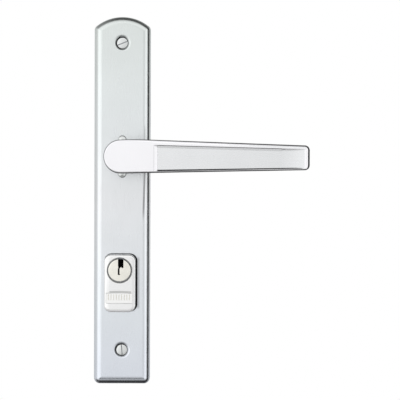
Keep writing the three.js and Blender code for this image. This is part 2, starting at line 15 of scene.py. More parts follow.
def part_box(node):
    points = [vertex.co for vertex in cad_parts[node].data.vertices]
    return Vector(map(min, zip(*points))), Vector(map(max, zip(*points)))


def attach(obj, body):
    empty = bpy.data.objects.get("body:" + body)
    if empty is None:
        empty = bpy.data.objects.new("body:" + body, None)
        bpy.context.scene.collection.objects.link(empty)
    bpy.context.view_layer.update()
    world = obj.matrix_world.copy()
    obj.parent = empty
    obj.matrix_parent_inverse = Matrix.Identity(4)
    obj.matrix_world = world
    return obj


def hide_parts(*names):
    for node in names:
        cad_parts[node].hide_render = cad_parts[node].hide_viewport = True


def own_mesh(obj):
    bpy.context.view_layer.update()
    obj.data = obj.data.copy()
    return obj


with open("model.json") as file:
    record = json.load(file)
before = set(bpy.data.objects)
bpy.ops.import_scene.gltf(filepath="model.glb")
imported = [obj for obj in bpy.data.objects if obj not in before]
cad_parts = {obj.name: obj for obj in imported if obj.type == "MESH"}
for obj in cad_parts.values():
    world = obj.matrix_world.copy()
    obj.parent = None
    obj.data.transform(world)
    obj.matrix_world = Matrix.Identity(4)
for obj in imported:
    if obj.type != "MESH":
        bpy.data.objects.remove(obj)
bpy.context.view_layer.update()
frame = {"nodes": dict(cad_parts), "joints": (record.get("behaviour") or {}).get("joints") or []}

METRE = 1000.0  # millimetres in a metre
PINS = range(1, 6)
DOOR_SCREWS = ("door_screw_top", "door_screw_bottom")
HOUSING_SCREWS = ("housing_screw_top", "housing_screw_bottom")


def extent(node):
    """A node's lowest and highest corners and its middle, in millimetres."""
    low, high = (Vector(corner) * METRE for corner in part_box(node))
    return low, high, (low + high) / 2


PLATE_LOW, PLATE_HIGH, PLATE_MIDDLE = extent("cover_plate")
LEVER_LOW, LEVER_HIGH, _ = extent("lever")
GUARD_LOW, GUARD_HIGH, GUARD_MIDDLE = extent("cylinder_guard")
PLUG_LOW, PLUG_HIGH, _ = extent("cylinder_plug")
BODY_LOW, BODY_HIGH, _ = extent("cylinder_body")
JOINTS = {joint["name"]: joint for joint in frame["joints"]}
LOCK_X, _, LOCK_Z = (value * METRE for value in JOINTS["plug_turn"]["pos_m"])
PLATE_FRONT = PLATE_LOW.y


def add_object(name, data):
    obj = bpy.data.objects.new(name, data)
    bpy.context.collection.objects.link(obj)
    return obj


# ---- camera, light and stage ----

CAMERA_DISTANCE = 1258.0
CAMERA_SIDE = -0.55  # degrees to the right of straight ahead
CAMERA_RISE = 1.25  # degrees above the level
CAMERA_ROLL = 0.2  # degrees
CAMERA_AIM = Vector((48.15, PLATE_FRONT, PLATE_MIDDLE.z + 0.6))
VIEW_WIDTH = 247.4  # how much of the plate's plane the view takes in
SENSOR = 36.0


def make_camera():
    side, rise = math.radians(CAMERA_SIDE), math.radians(CAMERA_RISE)
    back = Vector((math.sin(side) * math.cos(rise), -math.cos(side) * math.cos(rise), math.sin(rise)))
    data = bpy.data.cameras.new("camera")
    data.sensor_width = SENSOR
    data.lens = SENSOR * CAMERA_DISTANCE / VIEW_WIDTH
    camera = add_object("camera", data)
    camera.location = (CAMERA_AIM + back * CAMERA_DISTANCE) / METRE
    roll = Quaternion((0, 0, 1), math.radians(CAMERA_ROLL))
    camera.rotation_euler = ((-back).to_track_quat("-Z", "Y") @ roll).to_euler()
    bpy.context.scene.camera = camera


# The studio's light by its angle from straight ahead (the camera's side), towards each side:
# (degrees, brightness). 180 degrees is straight behind the object.
LIGHT = {
    "left": [(0, 0.91), (2.5, 0.92), (7, 1.3), (58, 1.3), (69, 0.78), (150, 0.68), (180, 0.5)],
    "right": [(0, 0.91), (8, 0.9), (14, 0.76), (24, 0.76), (32, 1.15), (62, 1.25), (71, 0.04),
              (110, 0.04), (120, 0.85), (150, 0.85), (180, 0.5)],
    "up": [(0, 0.91), (10, 0.91), (22, 1.0), (28, 1.1), (38, 1.1), (46, 0.95), (60, 0.9), (68, 0.5),
           (74, 0.08), (126, 0.1), (145, 0.5), (180, 0.5)],
    "down": [(0, 0.91), (2, 0.91), (5, 0.88), (7, 0.84), (9, 0.78), (24, 0.7), (27, 0.14), (35, 0.14),
             (42, 0.5), (60, 0.5), (70, 0.04), (126, 0.04), (145, 0.4), (180, 0.5)],
}
BRIGHTEST = 1.5  # the ramps' colours are shares of this
BACKDROP = (1.0, 1.0, 1.0, 1.0)


def shader_node(tree, kind, inputs=None, **settings):
    """A new node with its settings made, and with each input given a value or a link."""
    node = tree.nodes.new("ShaderNode" + kind)
    for setting, value in settings.items():
        setattr(node, setting, value)
    for socket, value in (inputs or {}).items():
        if isinstance(value, bpy.types.NodeSocket):
            tree.links.new(value, node.inputs[socket])
        else:
            node.inputs[socket].default_value = value
    return node


def maths(tree, operation, *values):
    return shader_node(tree, "Math", dict(enumerate(values)), operation=operation).outputs[0]


def mixed(tree, share, first, second):
    return shader_node(tree, "Mix", {"Factor": share, 2: first, 3: second}).outputs[0]


def colour_ramp(tree, factor, stops):
    """A ramp through stops of (position, (red, green, blue))."""
    ramp = shader_node(tree, "ValToRGB", {"Fac": factor})
    elements = ramp.color_ramp.elements
    while len(elements) < len(stops):
        elements.new(0.5)
    for element, (position, _) in zip(elements, stops):
        element.position = position
    for element, (_, colour) in zip(elements, stops):
        element.color = (*colour, 1)
    return ramp.outputs["Color"]


def light_towards(tree, angle, side):
    stops = [(degrees / 180, (level / BRIGHTEST,) * 3) for degrees, level in LIGHT[side]]
    return colour_ramp(tree, angle, stops)


def make_world():
    world = bpy.data.worlds.new("studio")
    world.use_nodes = True
    tree = world.node_tree
    tree.nodes.clear()
    direction = shader_node(tree, "TexCoord").outputs["Generated"]
    x, y, z = shader_node(tree, "SeparateXYZ", {0: direction}).outputs
    angle = maths(tree, "DIVIDE", maths(tree, "ARCCOSINE", maths(tree, "MULTIPLY", y, -1)), math.pi)
    sideways, upwards = maths(tree, "POWER", x, 2), maths(tree, "POWER", z, 2)
    sideways_share = maths(tree, "DIVIDE", sideways, maths(tree, "ADD", sideways, upwards))
    light = {side: light_towards(tree, angle, side) for side in LIGHT}
    level = mixed(
        tree,
        sideways_share,
        mixed(tree, maths(tree, "GREATER_THAN", z, 0), light["down"], light["up"]),
        mixed(tree, maths(tree, "GREATER_THAN", x, 0), light["left"], light["right"]),
    )
    studio = shader_node(tree, "Background", {"Color": level, "Strength": BRIGHTEST})
    backdrop = shader_node(tree, "Background", {"Color": BACKDROP})
    seen = shader_node(tree, "LightPath").outputs["Is Camera Ray"]
    choose = shader_node(tree, "MixShader", {"Fac": seen, 1: studio.outputs[0], 2: backdrop.outputs[0]})
    shader_node(tree, "OutputWorld", {"Surface": choose.outputs["Shader"]})
    bpy.context.scene.world = world
    bpy.context.scene.view_settings.view_transform = "Standard"


def soft_light(name, place_at, size, power):
    """A large soft light for the floor and the plastic. The metals only mirror the studio round them."""
    data = bpy.data.lights.new(name, "AREA")
    data.size = size
    data.energy = power
    light = add_object(name, data)
    light.location = place_at
    light.rotation_euler = (-Vector(place_at)).to_track_quat("-Z", "Y").to_euler()
    light.visible_glossy = False


FLOOR_DROP = 26.0
FLOOR_REACH = {"left": -300, "right": 380, "front": -420, "back": 90}


def make_floor():
    z = PLATE_LOW.z - FLOOR_DROP
    left, right, front, back = (FLOOR_REACH[side] for side in ("left", "right", "front", "back"))
    corners = [(left, front, z), (right, front, z), (right, back, z), (left, back, z)]
    floor = mesh_object("floor", corners, [(0, 1, 2, 3)])
    floor.data.materials.append(plaster())
    floor.visible_glossy = False  # the object hangs clear of it, in the photo studio's light


# ---- mesh helpers ----


def mesh_object(name, points, faces):
    """A mesh object from points in millimetres, with its faces turned outwards."""
    mesh = bpy.data.meshes.new(name)
    mesh.from_pydata([Vector(point) / METRE for point in points], [], faces)
    work = bmesh.new()
    work.from_mesh(mesh)
    bmesh.ops.remove_doubles(work, verts=work.verts, dist=1e-7)
    bmesh.ops.recalc_face_normals(work, faces=work.faces)
    work.to_mesh(mesh)
    work.free()
    return add_object(name, mesh)


def loft(name, rings, closed=False):
    """Joins rings of equal point count; the two ends are capped unless the rings close on themselves."""
    count = len(rings[0])
    points = [point for ring in rings for point in ring]
    faces = []
    for level in range(len(rings) if closed else len(rings) - 1):
        here, there = level * count, (level + 1) % len(rings) * count
        for i in range(count):
            j = (i + 1) % count
            faces.append((here + i, here + j, there + j, there + i))
    if not closed:
        faces.append(tuple(range(count)))
        faces.append(tuple(range(len(points) - 1, len(points) - count - 1, -1)))
    return mesh_object(name, points, faces)


def arc(cx, cz, radius, start, end, steps):
    """Points of an arc in (x, z), angles in degrees."""
    turns = (math.radians(start + (end - start) * i / steps) for i in range(steps + 1))
    return [(cx + radius * math.cos(turn), cz + radius * math.sin(turn)) for turn in turns]


def bezier(a, b, c, d, steps):
    """Points of a cubic curve."""
    points = []
    for i in range(steps + 1):
        t = i / steps
        weights = ((1 - t) ** 3, 3 * t * (1 - t) ** 2, 3 * t * t * (1 - t), t**3)
        points.append(tuple(sum(w * p[k] for w, p in zip(weights, (a, b, c, d))) for k in range(2)))
    return points


def from_outline(name, outline_at, levels):
    """Lofts outline_at(inset) through levels of (depth, inset)."""
    return loft(name, [[(x, y, z) for x, z in outline_at(inset)] for y, inset in levels])


NO_RADIUS = 1e-4  # a profile's point on the axis stays this far off it, so that its ring has a place


def circle(radius, steps):
    return arc(0, 0, max(radius, NO_RADIUS), 0, 360, steps)[:-1]


def turned(name, profile, x=0.0, z=0.0, steps=64, closed=False):
    """A piece turned about an axis along Y. Its profile is a list of (radius, y), closed for a ring."""
    rings = [[(x + px, y, z + pz) for px, pz in circle(radius, steps)] for radius, y in profile]
    return loft(name, rings, closed)


def rod(name, radius, start, end, x=0.0, z=0.0, steps=64):
    """A plain round bar along Y, which makes a boss or cuts a hole."""
    return turned(name, [(0, start), (radius, start), (radius, end), (0, end)], x, z, steps)


def upright(name, profile, x, y, steps=28):
    """A piece turned about an upright axis. Its profile is a list of (radius, z)."""
    return loft(name, [[(x + px, y + py, z) for px, py in circle(radius, steps)] for radius, z in profile])


def upright_rod(name, radius, start, end, x, y):
    return upright(name, [(0, start), (radius, start), (radius, end), (0, end)], x, y)


def block(name, low, high):
    corners = [(x, y, z) for x in (low[0], high[0]) for y in (low[1], high[1]) for z in (low[2], high[2])]
    faces = [(0, 1, 3, 2), (4, 6, 7, 5), (0, 4, 5, 1), (2, 3, 7, 6), (0, 2, 6, 4), (1, 5, 7, 3)]
    return mesh_object(name, corners, faces)


def evaluated_mesh(obj):
    graph = bpy.context.evaluated_depsgraph_get()
    return bpy.data.meshes.new_from_object(obj.evaluated_get(graph), depsgraph=graph)


def apply_modifiers(obj):
    mesh, old = evaluated_mesh(obj), obj.data
    obj.modifiers.clear()
    obj.data = mesh
    bpy.data.meshes.remove(old)


def combine(obj, tools, operation):
    for tool in tools:
        modifier = obj.modifiers.new(operation, "BOOLEAN")
        modifier.operation = operation
        modifier.solver = "EXACT"
        modifier.object = tool
        apply_modifiers(obj)
        bpy.data.objects.remove(tool)
    return obj


def cut(obj, *tools):
    return combine(obj, tools, "DIFFERENCE")


def join(obj, *others):
    return combine(obj, others, "UNION")


LARGE_FLAT = 60.0  # square millimetres


def smooth(obj, sharp):
    """Smooth shading that keeps real corners and leaves large flats flat."""
    work = bmesh.new()
    work.from_mesh(obj.data)
    bmesh.ops.remove_doubles(work, verts=work.verts, dist=2e-7)
    bmesh.ops.dissolve_degenerate(work, dist=1e-7, edges=work.edges)
    work.to_mesh(obj.data)
    work.free()
    obj.data.shade_smooth()
    obj.data.set_sharp_from_angle(angle=math.radians(sharp))
    sharp_edges = obj.data.attributes["sharp_edge"].data
    for face in obj.data.polygons:
        if face.area * METRE**2 > LARGE_FLAT:
            for corner in face.loop_indices:
                sharp_edges[obj.data.loops[corner].edge_index].value = True
    modifier = obj.modifiers.new("flats", "WEIGHTED_NORMAL")
    modifier.keep_sharp = True
    modifier.weight = 80
    apply_modifiers(obj)


def repaint(obj, material, inside):
    """Gives the faces whose middle is inside(x, y, z), in millimetres, another material."""
    obj.data.materials.append(MATERIALS[material])
    for face in obj.data.polygons:
        if inside(*(face.center * METRE)):
            face.material_index = len(obj.data.materials) - 1


def place(obj, body, material, node, sharp=34):
    """Smooths a finished piece, gives it its material and body, and hides the node that it stands for."""
    smooth(obj, sharp)
    obj.data.materials.clear()
    obj.data.materials.append(MATERIALS[material])
    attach(obj, body)
    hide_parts(node)


# ---- materials ----

EVEN_GRAIN = (1, 1, 1)
UPRIGHT_GRAIN = (1, 1, 0.04)
ALONG_LEVER_GRAIN = (0.04, 1, 1)
INTO_DOOR_GRAIN = (1, 0.05, 1)


def new_material(name):
    material = bpy.data.materials.new(name)
    material.use_nodes = True
    tree = material.node_tree
    return material, tree, tree.nodes["Principled BSDF"]


def noise(tree, stretch, scale, detail=3.0, vector=None):
    """Noise in the object's own space, stretched along the axes."""
    if vector is None:
        vector = shader_node(tree, "TexCoord").outputs["Object"]
    mapping = shader_node(tree, "Mapping", {"Vector": vector, "Scale": stretch})
    inputs = {"Vector": mapping.outputs["Vector"], "Scale": scale, "Detail": detail}
    return shader_node(tree, "TexNoise", inputs).outputs["Fac"]


NOISE_MIDDLE, NOISE_SPREAD = (0.35, 0.65), (0.3, 0.7)  # where most of a noise's values lie


def blend_colours(tree, factor, low, high):
    return colour_ramp(tree, factor, list(zip(NOISE_MIDDLE, (low, high))))


def between(tree, factor, low, high):
    """A noise's spread stretched to the values from low to high."""
    least, most = NOISE_SPREAD
    inputs = {"Value": factor, "From Min": least, "From Max": most, "To Min": low, "To Max": high}
    return shader_node(tree, "MapRange", inputs).outputs["Result"]


def bump(tree, shader, height, strength, distance):
    node = shader_node(tree, "Bump", {"Height": height, "Strength": strength, "Distance": distance / METRE})
    tree.links.new(node.outputs["Normal"], shader.inputs["Normal"])


def tinted(colour, amount):
    return tuple(max(0.0, min(1.0, channel * amount)) for channel in colour)


def metal(name, colour, roughness, grain=EVEN_GRAIN, grain_scale=900, depth=0.004, mottle=0.03):
    """A metal with slow blotches of tone and a fine surface grain that also varies its roughness."""
    material, tree, shader = new_material(name)
    shader.inputs["Metallic"].default_value = 1.0
    blotches = noise(tree, EVEN_GRAIN, 45, 2)
    tone = blend_colours(tree, blotches, tinted(colour, 1 - mottle), tinted(colour, 1 + mottle / 2))
    tree.links.new(tone, shader.inputs["Base Color"])
    fine = noise(tree, grain, grain_scale, 4)
    tree.links.new(between(tree, fine, roughness * 0.8, roughness * 1.2), shader.inputs["Roughness"])
    bump(tree, shader, fine, 0.25, depth)
    return material


# the plate's tint from its foot to its top: (height share, colour)
PLATE_TINTS = [(0.0, (0.734, 0.768, 0.834)), (0.22, (0.771, 0.807, 0.84)), (0.5, (0.8, 0.814, 0.832)),
               (0.75, (0.768, 0.803, 0.808)), (1.0, (0.72, 0.759, 0.743))]
TINT_BASE = 0.9  # the mottled metal under the tints
FLANGE_MARGIN = 2.7  # how far the guard's hidden flange reaches past the boss
# soft shades on the plate, under and over the lever and beside the guard:
# (x, half width, z from, z to, fade, depth, lean)
SHADES = [
    (14.25, 0.85, -31.0, -11.0, 11.0, 0.5, 0.03),
    (13.9, 0.7, 11.0, 16.0, 5.0, 0.2, 0.0),
    (GUARD_HIGH.x - FLANGE_MARGIN + 0.8, 2.1, GUARD_LOW.z + 6, GUARD_HIGH.z - 6, 2.5, 0.34, 0.0),
]


def step_up(tree, value, start, end):
    """0 below start, 1 above end, smooth between them. They are millimetres, and value is in metres."""
    inputs = {"Value": value, "From Min": start / METRE, "From Max": end / METRE}
    return shader_node(tree, "MapRange", inputs, interpolation_type="SMOOTHSTEP").outputs["Result"]


def soft_shades(tree, x, z):
    """The share of light left by the SHADES at a place."""
    left = 1.0
    for line, reach, low, high, fade, depth, lean in SHADES:
        middle = maths(tree, "ADD", maths(tree, "MULTIPLY", z, lean), line / METRE)
        away = maths(tree, "ABSOLUTE", maths(tree, "SUBTRACT", x, middle))
        above = step_up(tree, z, low - fade, low)
        beyond = step_up(tree, z, high, high + fade)
        beside = step_up(tree, away, 0.35 * reach, reach)
        height = maths(tree, "SUBTRACT", above, beyond)
        width = maths(tree, "SUBTRACT", 1.0, beside)
        dark = maths(tree, "MULTIPLY", maths(tree, "MULTIPLY", height, width), depth)
        left = maths(tree, "MULTIPLY", left, maths(tree, "SUBTRACT", 1.0, dark))
    return left


def anodised(name, roughness):
    """The plate's satin metal: its tint drifts along the plate, with soft shades beside the other pieces."""
    material = metal(name, (TINT_BASE,) * 3, roughness, UPRIGHT_GRAIN, 1400, depth=0.0015, mottle=0.02)
    tree = material.node_tree
    shader = tree.nodes["Principled BSDF"]
    patches = shader.inputs["Base Color"].links[0].from_socket
    x, _, z = shader_node(tree, "SeparateXYZ", {0: shader_node(tree, "TexCoord").outputs["Object"]}).outputs
    ends = {"From Min": PLATE_LOW.z / METRE, "From Max": PLATE_HIGH.z / METRE}
    share = shader_node(tree, "MapRange", {"Value": z, **ends}).outputs["Result"]
    stops = [(position, tinted(colour, 1 / TINT_BASE)) for position, colour in PLATE_TINTS]
    drift = colour_ramp(tree, share, stops)
    tint = shader_node(tree, "Mix", {"Factor": 1.0, "A": patches, "B": drift}, data_type="RGBA",
                       blend_type="MULTIPLY")
    shading = {0: tint.outputs["Result"], "Scale": soft_shades(tree, x, z)}
    shaded = shader_node(tree, "VectorMath", shading, operation="SCALE")
    tree.links.new(shaded.outputs["Vector"], shader.inputs["Base Color"])
    return material


def turned_metal(name, colour, roughness, x, z):
    """A lathe-turned face: fine rings about an axis along Y at (x, z)."""
    material, tree, shader = new_material(name)
    shader.inputs["Metallic"].default_value = 1.0
    here = shader_node(tree, "TexCoord").outputs["Object"]
    shift = shader_node(tree, "VectorMath", {0: here, 1: (x / METRE, 0, z / METRE)}, operation="SUBTRACT")
    flatten = {0: shift.outputs["Vector"], 1: (1, 0, 1)}
    flat = shader_node(tree, "VectorMath", flatten, operation="MULTIPLY")
    distance = shader_node(tree, "VectorMath", {0: flat.outputs["Vector"]}, operation="LENGTH")
    along = shader_node(tree, "CombineXYZ", {"X": distance.outputs["Value"]}).outputs["Vector"]
    rings = noise(tree, EVEN_GRAIN, 3200, 2, along)
    blotches = noise(tree, EVEN_GRAIN, 160, 2)
    tone = blend_colours(tree, blotches, tinted(colour, 0.95), tinted(colour, 1.02))
    tree.links.new(tone, shader.inputs["Base Color"])
    tree.links.new(between(tree, rings, roughness * 0.8, roughness * 1.25), shader.inputs["Roughness"])
    bump(tree, shader, rings, 0.3, 0.01)
    return material


def plastic(name, colour, roughness):
    material, tree, shader = new_material(name)
    shader.inputs["Roughness"].default_value = roughness
    shader.inputs["Subsurface Weight"].default_value = 0.1
    shader.inputs["Subsurface Scale"].default_value = 0.001
    tone = blend_colours(tree, noise(tree, EVEN_GRAIN, 120, 2), tinted(colour, 0.94), colour)
    tree.links.new(tone, shader.inputs["Base Color"])
    bump(tree, shader, noise(tree, EVEN_GRAIN, 1500, 3), 0.2, 0.02)
    return material


def plaster():
    material, tree, shader = new_material("pale_floor")
    shader.inputs["Roughness"].default_value = 0.9
    tone = blend_colours(tree, noise(tree, EVEN_GRAIN, 6, 2), (0.86, 0.86, 0.86), (0.9, 0.9, 0.9))
    tree.links.new(tone, shader.inputs["Base Color"])
    return material


MATERIALS = {
    "plate": anodised("satin_plate", 0.24),
    "plate_side": anodised("satin_plate_side", 0.55),
    "lever": metal("cast_lever", (0.955, 0.95, 0.975), 0.2, ALONG_LEVER_GRAIN, 1200, mottle=0.015),
    "lever_side": metal("cast_lever_side", (0.93, 0.93, 0.945), 0.5, ALONG_LEVER_GRAIN, 1200, mottle=0.02),
    "panel": metal("brushed_panel", (0.84, 0.85, 0.862), 0.26, ALONG_LEVER_GRAIN, 1500, 0.002, 0.02),
    "guard": metal("satin_nickel", (0.9, 0.903, 0.902), 0.2, UPRIGHT_GRAIN, 1600, mottle=0.02),
    "guard_side": metal("satin_nickel_under", (0.9, 0.903, 0.91), 0.7, UPRIGHT_GRAIN, 1600, mottle=0.02),
    "label": metal("satin_nickel_label", (0.965, 0.965, 0.955), 0.2, UPRIGHT_GRAIN, 1600, mottle=0.02),
    "plug": turned_metal("plug_brass", (0.895, 0.88, 0.81), 0.24, LOCK_X, LOCK_Z),
    "body": metal("nickel_brass", (0.84, 0.82, 0.74), 0.4, INTO_DOOR_GRAIN, 1200),
    "screw": metal("nickel_screws", (0.74, 0.76, 0.755), 0.26, EVEN_GRAIN, 1800),
    "zinc": metal("zinc_steel", (0.66, 0.69, 0.73), 0.46, EVEN_GRAIN, 500, mottle=0.12),
    # the spring housing's own dark zinc, also used as painted shade on the body's face ring and in the screw
    # slots, and as a painted dark reflection on the lever hub's chamfer
    "casting_and_shade": metal("zinc_casting", (0.36, 0.37, 0.39), 0.5, EVEN_GRAIN, 900, 0.02, 0.1),
    "sinter": metal("sintered_steel", (0.36, 0.36, 0.37), 0.45, EVEN_GRAIN, 2600, 0.015, 0.08),
    "spring": metal("spring_steel", (0.50, 0.51, 0.53), 0.3, EVEN_GRAIN, 1500),
    "oxide": metal("black_steel", (0.06, 0.06, 0.07), 0.4, EVEN_GRAIN, 1800),
    "brass": metal("pin_brass", (0.83, 0.66, 0.33), 0.26, EVEN_GRAIN, 1800),
    "pin_steel": metal("pin_steel", (0.68, 0.69, 0.71), 0.24, EVEN_GRAIN, 1800),
    "nylon": plastic("nylon", (0.86, 0.85, 0.80), 0.5),
    # near-black paint on a rougher metal: painted shade in hollows, gaps and the keyway
    "painted_shade": metal("painted_recess_shade", (0.09, 0.09, 0.095), 0.6, EVEN_GRAIN, 1200, 0.02, 0.2),
}


# ---- the backplate ----

ARCH, SHOULDER, CORNER = 25.8, 3.05, 3.75  # radii of the top, of its two ends and of the lower corners
SMALLEST_CORNER = 0.25
WALL = 1.8
RIM_WIDTH, RIM_DEPTH = 4.75, 4.6
CUP_FLOOR, CUP_BORE = -6.6, 3.85
CUP_OUTSIDE, CUP_BOTTOM, CUP_OVERLAP = 5.6, 1.3, 0.4
CUP_CONE = {"mouth": 4.35, "tilt": 38.0, "lip": 1.5}
CUP_SHIFT = Vector((-0.22, 0, 0.16))  # the holes are a little loose, so the screws don't sit in their middle
SHANK_HOLE, DOME_HOLE, LEVER_HOLE = 2.3, 1.5, 7.3
GUARD_FRONT = GUARD_LOW.y
BOSS_WIDTH = GUARD_HIGH.x - GUARD_LOW.x - 2 * FLANGE_MARGIN
BOSS_HEIGHT = GUARD_HIGH.z - GUARD_LOW.z - 2 * FLANGE_MARGIN
BOSS_CORNER = 4.1
OPENING_GAPS = {"left": 0.06, "right": 0.9, "top": 0.35, "bottom": 0.05}
OPENING_EDGE = 0.2
PAINTED_SHADE_FROM = 0.9  # how far behind the front face the holes are painted dark as shade
SIDE_FROM = 3.0  # and the rim turns from satin to a plain brushed side
PAST = 1.0  # how far a cutting tool reaches past the face it cuts


def plate_outline(inset):
    half = (PLATE_HIGH.x - PLATE_LOW.x) / 2 - inset
    arch, centre = ARCH - inset, PLATE_HIGH.z - ARCH
    shoulder, corner = max(SHOULDER - inset, SMALLEST_CORNER), max(CORNER - inset, SMALLEST_CORNER)
    across = half - shoulder
    up = math.sqrt((arch - shoulder) ** 2 - across**2)
    turn = math.degrees(math.atan2(up, across))
    foot = PLATE_LOW.z + inset + corner
    return (
        arc(across, centre + up, shoulder, 0, turn, 8)
        + arc(0, centre, arch, turn, 180 - turn, 64)[1:-1]
        + arc(-across, centre + up, shoulder, 180 - turn, 180, 8)
        + arc(corner - half, foot, corner, 180, 270, 12)
        + arc(half - corner, foot, corner, 270, 360, 12)
    )


def rim_levels():
    """The rounded rim, from the back edge round to the flat front: a list of (depth, inset)."""
    curve = bezier((0, RIM_DEPTH), (0, 1.8), (2.2, 0), (RIM_WIDTH, 0), 14)
    return [(0, 0.25), (-0.25, 0)] + [(PLATE_FRONT + depth, inset) for inset, depth in curve]


def screw_cup_tool(centre):
    """A door screw's dished seat: a rounded lip that turns into a cone, then a bore to the floor."""
    mouth, lip, tilt = CUP_CONE["mouth"], CUP_CONE["lip"], math.radians(CUP_CONE["tilt"])
    outer = mouth + lip * math.sin(tilt)
    angles = [tilt * (1 - k / 8) for k in range(9)]
    rounded = [(outer - lip * math.sin(a), PLATE_FRONT + lip * (1 - math.cos(a))) for a in angles]
    cone_end = rounded[0][1] + (mouth - CUP_BORE) * math.tan(tilt)
    profile = [(0, CUP_FLOOR), (CUP_BORE, CUP_FLOOR), (CUP_BORE, cone_end)] + rounded
    profile += [(outer, PLATE_FRONT - PAST), (0, PLATE_FRONT - PAST)]
    return turned("cup_tool", profile, centre.x + CUP_SHIFT.x, centre.z + CUP_SHIFT.z, 72)


def lipped_hole(name, radius, centre, lip):
    """A tool for a round hole through the plate, with a small rounded lip."""
    profile = [(0, PAST), (radius, PAST), (radius, PLATE_FRONT + lip)]
    profile += [(radius + 0.3 * lip, PLATE_FRONT + 0.3 * lip), (radius + lip, PLATE_FRONT)]
    profile += [(radius + lip, PLATE_FRONT - PAST), (0, PLATE_FRONT - PAST)]
    return turned(name, profile, centre.x, centre.z)


def rounded_rectangle(x, z, width, height, corner, steps=14):
    """A function that gives the rectangle's outline for an inset."""

    def outline(inset):
        r = max(corner - inset, 0.15)
        across, up = width / 2 - inset - r, height / 2 - inset - r
        return (
            arc(x + across, z + up, r, 0, 90, steps)
            + arc(x - across, z + up, r, 90, 180, steps)
            + arc(x - across, z - up, r, 180, 270, steps)
            + arc(x + across, z - up, r, 270, 360, steps)
        )

    return outline


def on_rim(x, z):
    """Whether a point seen from the front lies on the plate's outer rim, or beyond it."""
    half = (PLATE_HIGH.x - PLATE_LOW.x) / 2 - WALL
    beyond_arch = math.hypot(x, z - (PLATE_HIGH.z - ARCH)) > ARCH - WALL and z > PLATE_HIGH.z - ARCH
    return abs(x) > half or z < PLATE_LOW.z + WALL or beyond_arch


def guard_opening():
    """A tool for the guard's opening in the plate, whose gap is wider on the right and at the top."""
    left, right, top, bottom = (OPENING_GAPS[side] for side in ("left", "right", "top", "bottom"))
    x, z = GUARD_MIDDLE.x + (right - left) / 2, GUARD_MIDDLE.z + (top - bottom) / 2
    width, height = BOSS_WIDTH + right + left, BOSS_HEIGHT + top + bottom
    outline = rounded_rectangle(x, z, width, height, BOSS_CORNER + top)
    levels = [(PAST, 0), (PLATE_FRONT + OPENING_EDGE, 0), (PLATE_FRONT, -OPENING_EDGE),
              (PLATE_FRONT - PAST, -OPENING_EDGE)]
    return from_outline("window", outline, levels)


def make_cover_plate():
    shell = from_outline("cover", plate_outline, rim_levels())
    inside = PLATE_FRONT + WALL
    hollow = [(PAST, WALL), (inside + 2.4, WALL), (inside + 1.1, WALL + 0.5), (inside + 0.3, WALL + 1.5),
              (inside, WALL + 2.7)]
    cut(shell, from_outline("cavity", plate_outline, hollow))
    screws = [extent(node)[2] for node in DOOR_SCREWS]
    domes = [extent(node)[2] for node in HOUSING_SCREWS]
    cup_ends = (CUP_FLOOR + CUP_BOTTOM, inside - CUP_OVERLAP)
    shank_ends = (PAST, CUP_FLOOR - PAST)
    join(shell, *[rod("cup", CUP_OUTSIDE, *cup_ends, at.x, at.z) for at in screws])
    tools = [screw_cup_tool(at) for at in screws]
    tools += [rod("shank_tool", SHANK_HOLE, *shank_ends, at.x, at.z, 40) for at in screws]
    tools += [lipped_hole("dome_tool", DOME_HOLE, at, 0.1) for at in domes]
    tools += [lipped_hole("lever_tool", LEVER_HOLE, Vector((0, 0, 0)), 0.3), guard_opening()]
    cut(shell, *tools)
    place(shell, "backplate", "plate", "cover_plate")
    # painted shade: the holes' walls behind the front face are painted near-black
    repaint(shell, "painted_shade", lambda x, y, z: y > PLATE_FRONT + PAINTED_SHADE_FROM and not on_rim(x, z))
    repaint(shell, "plate_side", lambda x, y, z: y > PLATE_FRONT + SIDE_FROM and on_rim(x, z))


# ---- the lever ----

HUB = 10.15
CROWN = [(0, HUB), (8, 10.45), (16, 10.35), (24.3, 9.98)]  # the curve over the hub's top
GRIP_BACK = -39.0
END_CORNER = 2.95
END_TOP, END_BOTTOM = 7.1, -7.8
BACK_EDGE = 2.4
OUTLINE_POINTS = 440
CHAMFER_TILT = math.tan(math.radians(42))
CHAMFER_RISES = [(0, -0.12), (0.12, 0.02), (0.25, 0.2), (1, 1)]  # (inset share, rise share)
# (inset share, rise for each millimetre of the bevel's width)
BEVEL_TILTS = [(0.0, 0.0), (0.25, 0.13), (0.5, 0.23), (0.75, 0.29), (1.0, 0.31)]
SOCKET = 3.75  # half the width of the spindle's square hole
NECK, NECK_END, NECK_FLAT, GROOVE = 7.2, 6.0, 5.3, 5.6
GRUB_Y, GRUB_HOLE = -20, 2.6
PANEL = {"left": 22.2, "right": 111.6, "left_low": -8.7, "left_high": 7.0, "right_low": -6.75,
         "right_high": 4.87}
PANEL_DEPTH_TOP, PANEL_DEPTH_BOTTOM = 0.5, 0.7
PANEL_WALL_TOP, PANEL_WALL_BOTTOM, PANEL_FILLET = 0.42, 0.9, 1.7
WALL_NARROWING = 0.35  # how much narrower the panel's lower wall is at its right end
# how the hub's face rolls off into the panel: (x from the panel's left, depth share)
SHOULDER_ROLL = [(-2.4, 0.01), (-2.15, 0.05), (-1.85, 0.15), (-0.3, 0.87), (-0.1, 0.96), (0.1, 1)]
RAMP = 15.0  # how long the panel's floor takes to rise at its right end


def resample(points, count):
    """Points spaced evenly along a closed outline."""
    loop = [Vector(p) for p in points]
    loop.append(loop[0].copy())
    lengths = [0.0]
    for a, b in zip(loop, loop[1:]):
        lengths.append(lengths[-1] + (b - a).length)
    result, k = [], 0
    for i in range(count):
        goal = lengths[-1] * i / count
        while lengths[k + 1] < goal:
            k += 1
        share = (goal - lengths[k]) / (lengths[k + 1] - lengths[k])
        result.append(loop[k].lerp(loop[k + 1], share))
    return result


